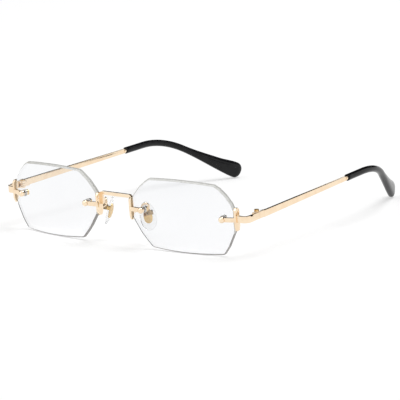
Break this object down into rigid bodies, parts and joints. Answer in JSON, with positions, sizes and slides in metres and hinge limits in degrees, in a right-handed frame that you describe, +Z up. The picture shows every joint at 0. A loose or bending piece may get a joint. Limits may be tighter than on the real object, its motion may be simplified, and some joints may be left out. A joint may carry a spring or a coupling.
{
  "type": "rimless spectacles",
  "caption": "Rimless spectacles with clear eight-sided lenses, gilt clamps and bridge, silicone nose pads and folding temples with black tips.",
  "frame": {"origin": "on the surface that the spectacles stand on, below the middle of their width and depth, with the temples open", "axes": "+X the wearer's left, +Y backwards along the open temples, +Z up; the lenses face -Y"},
  "size_m": [0.138, 0.1564, 0.0336],
  "materials": {
    "lens": "clear lens plastic, polished, with a faint cool grey tint",
    "gold": "pale champagne gold plating, polished",
    "dark_gold": "deeper gold plating, polished",
    "silicone": "soft clear silicone, satin",
    "nylon": "translucent nylon",
    "black": "glossy black plastic"
  },
  "bodies": {
    "front": {"left_lens": "lens", "right_lens": "lens", "bridge": "gold", "left_inner_clamp": "gold", "right_inner_clamp": "gold", "left_endpiece": "gold", "right_endpiece": "gold", "inner_lens_screws": "gold", "outer_lens_screws": "gold", "lens_bushes": "nylon", "lens_washers": "gold", "lens_nuts": "dark_gold", "left_pad_arm": "gold", "right_pad_arm": "gold", "left_pad_box": "gold", "right_pad_box": "gold", "left_pad_screw": "dark_gold", "right_pad_screw": "dark_gold", "left_front_hinge_leaf": "gold", "right_front_hinge_leaf": "gold", "left_hinge_screw": "dark_gold", "right_hinge_screw": "dark_gold"},
    "left_temple": {"left_temple_hinge_leaf": "gold", "left_temple": "gold", "left_tip": "black"},
    "right_temple": {"right_temple_hinge_leaf": "gold", "right_temple": "gold", "right_tip": "black"},
    "left_pad": {"left_pad_core": "dark_gold", "left_nose_pad": "silicone"},
    "right_pad": {"right_pad_core": "dark_gold", "right_nose_pad": "silicone"}
  },
  "joints": [
    {"name": "left_temple_fold", "type": "hinge", "parent": "front", "child": "left_temple", "pos_m": [0.0666, -0.05842, 0.01853], "axis": [0, 0, 1], "range_deg": [0, 84]},
    {"name": "right_temple_fold", "type": "hinge", "parent": "front", "child": "right_temple", "pos_m": [-0.0666, -0.05842, 0.01853], "axis": [0, 0, -1], "range_deg": [0, 75]},
    {"name": "left_pad_rock", "type": "hinge", "parent": "front", "child": "left_pad", "pos_m": [0.013, -0.06605, 0.01476], "axis": [0.4226, 0.9035, 0.0711], "range_deg": [-10, 5]},
    {"name": "right_pad_rock", "type": "hinge", "parent": "front", "child": "right_pad", "pos_m": [-0.013, -0.06605, 0.01476], "axis": [0.4226, -0.9035, -0.0711], "range_deg": [-10, 5]}
  ]
}
